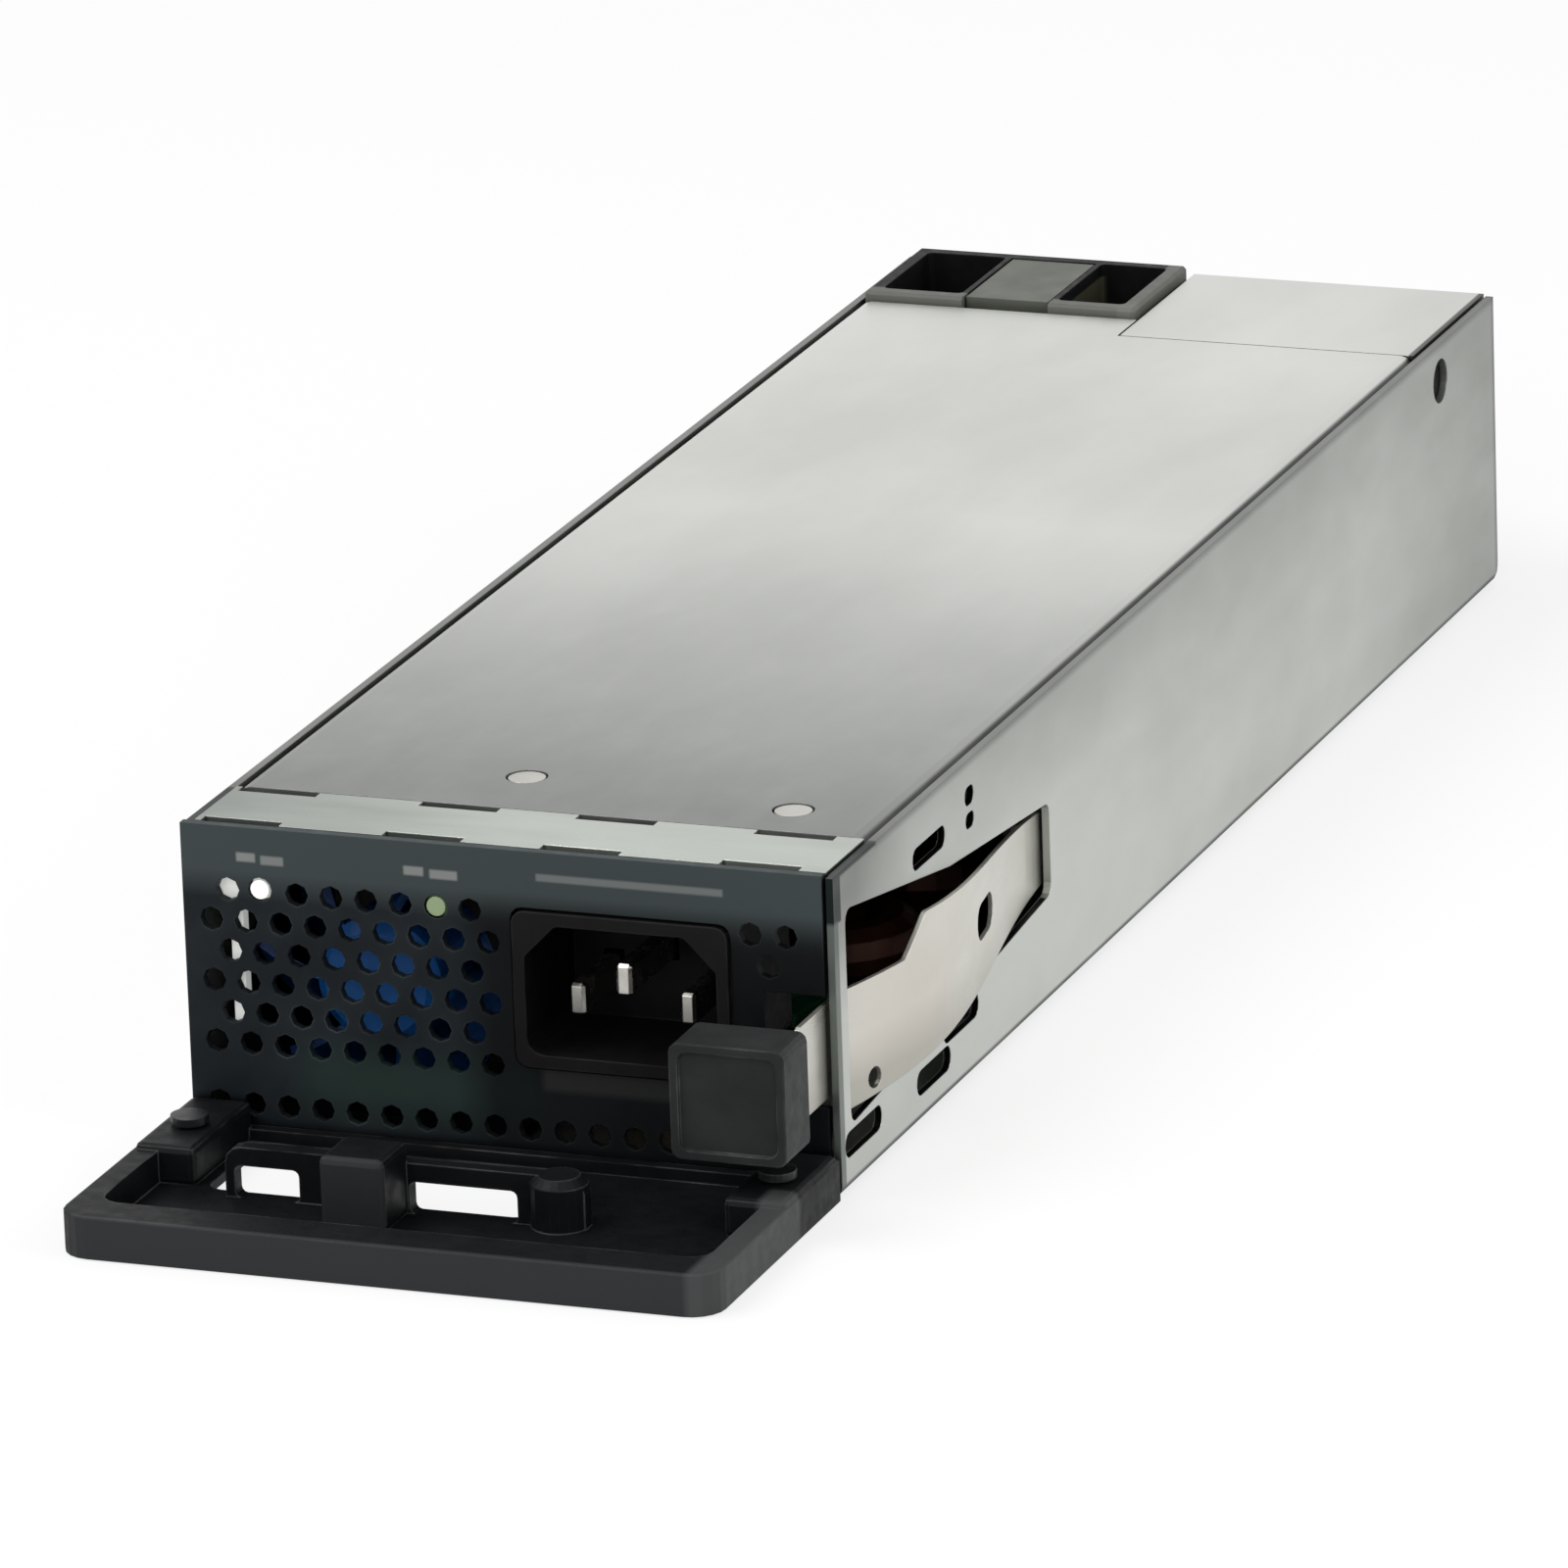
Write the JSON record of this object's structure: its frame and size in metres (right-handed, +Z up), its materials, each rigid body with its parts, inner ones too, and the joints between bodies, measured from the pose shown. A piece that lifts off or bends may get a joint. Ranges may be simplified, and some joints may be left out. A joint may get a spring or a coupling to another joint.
{
  "type": "power supply module",
  "caption": "Slim slide-in power supply: sheet-metal case, vented front with mains inlet, handle shelf, bowed side latch, fan, board and rear connector.",
  "frame": {"origin": "centre of the case's underside, on the surface that it rests on", "axes": "+Z up, +Y from the front panel to the rear connector, +X towards the wall with the latch"},
  "size_m": [0.0855, 0.2975, 0.0412],
  "materials": {
    "galvanised": "galvanised sheet, satin with a faint mottle",
    "bright_steel": "bright spring steel",
    "panel_paint": "dark slate grey paint, satin",
    "black_plastic": "black moulded plastic, fine grain",
    "black_steel": "steel with a dark coat",
    "blue_plastic": "blue moulded fan plastic",
    "clear_lens": "cloudy light guide",
    "nickel": "nickel plate",
    "can_metal": "bare aluminium can",
    "board_green": "green glass-fibre board",
    "aluminium": "extruded aluminium",
    "winding": "enamelled copper winding",
    "sleeve": "dark shrink sleeve",
    "ferrite": "dark ferrite",
    "film_yellow": "yellow film"
  },
  "bodies": {
    "case": {"chassis": "galvanised", "top_cover": "galvanised", "rear_panel": "galvanised", "contact_strip": "bright_steel", "front_panel": "panel_paint", "inlet_housing": "black_plastic", "fan_frame": "black_plastic", "handle_tray": "black_plastic", "connector_housing": "black_plastic", "status_light_1": "clear_lens", "status_light_2": "clear_lens", "line_pin": "nickel", "neutral_pin": "nickel", "earth_pin": "nickel", "latch_stud_lower": "nickel", "latch_stud_upper": "nickel", "cover_screw_1": "nickel", "cover_screw_2": "nickel", "handle_screw_left": "black_steel", "handle_screw_right": "black_steel", "output_contact_1": "nickel", "output_contact_2": "nickel", "output_contact_3": "nickel", "output_contact_4": "nickel", "standoff_1": "nickel", "standoff_2": "nickel", "standoff_3": "nickel", "standoff_4": "nickel", "board_screw_1": "nickel", "board_screw_2": "nickel", "board_screw_3": "nickel", "board_screw_4": "nickel", "output_capacitor_1": "can_metal", "output_capacitor_2": "can_metal", "output_capacitor_3": "can_metal", "main_board": "board_green", "output_card": "board_green", "input_heatsink": "aluminium", "output_heatsink": "aluminium", "common_mode_choke": "winding", "boost_inductor": "winding", "bulk_capacitor_1": "sleeve", "bulk_capacitor_2": "sleeve", "transformer_core": "ferrite", "transformer_coil": "film_yellow", "filter_capacitor": "film_yellow"},
    "fan": {"fan_rotor": "blue_plastic"},
    "latch": {"latch_spring": "bright_steel", "latch_button": "black_plastic"}
  },
  "joints": [
    {"name": "fan_spin", "type": "hinge", "parent": "case", "child": "fan", "pos_m": [-0.0197, -0.107, 0.01935], "axis": [0, 1, 0], "continuous": true},
    {"name": "latch_release", "type": "hinge", "parent": "case", "child": "latch", "pos_m": [0.0395, -0.0435, 0.01935], "axis": [0, 0, -1], "range_deg": [0, 3.8], "stiffness_Nm_per_rad": 6}
  ]
}
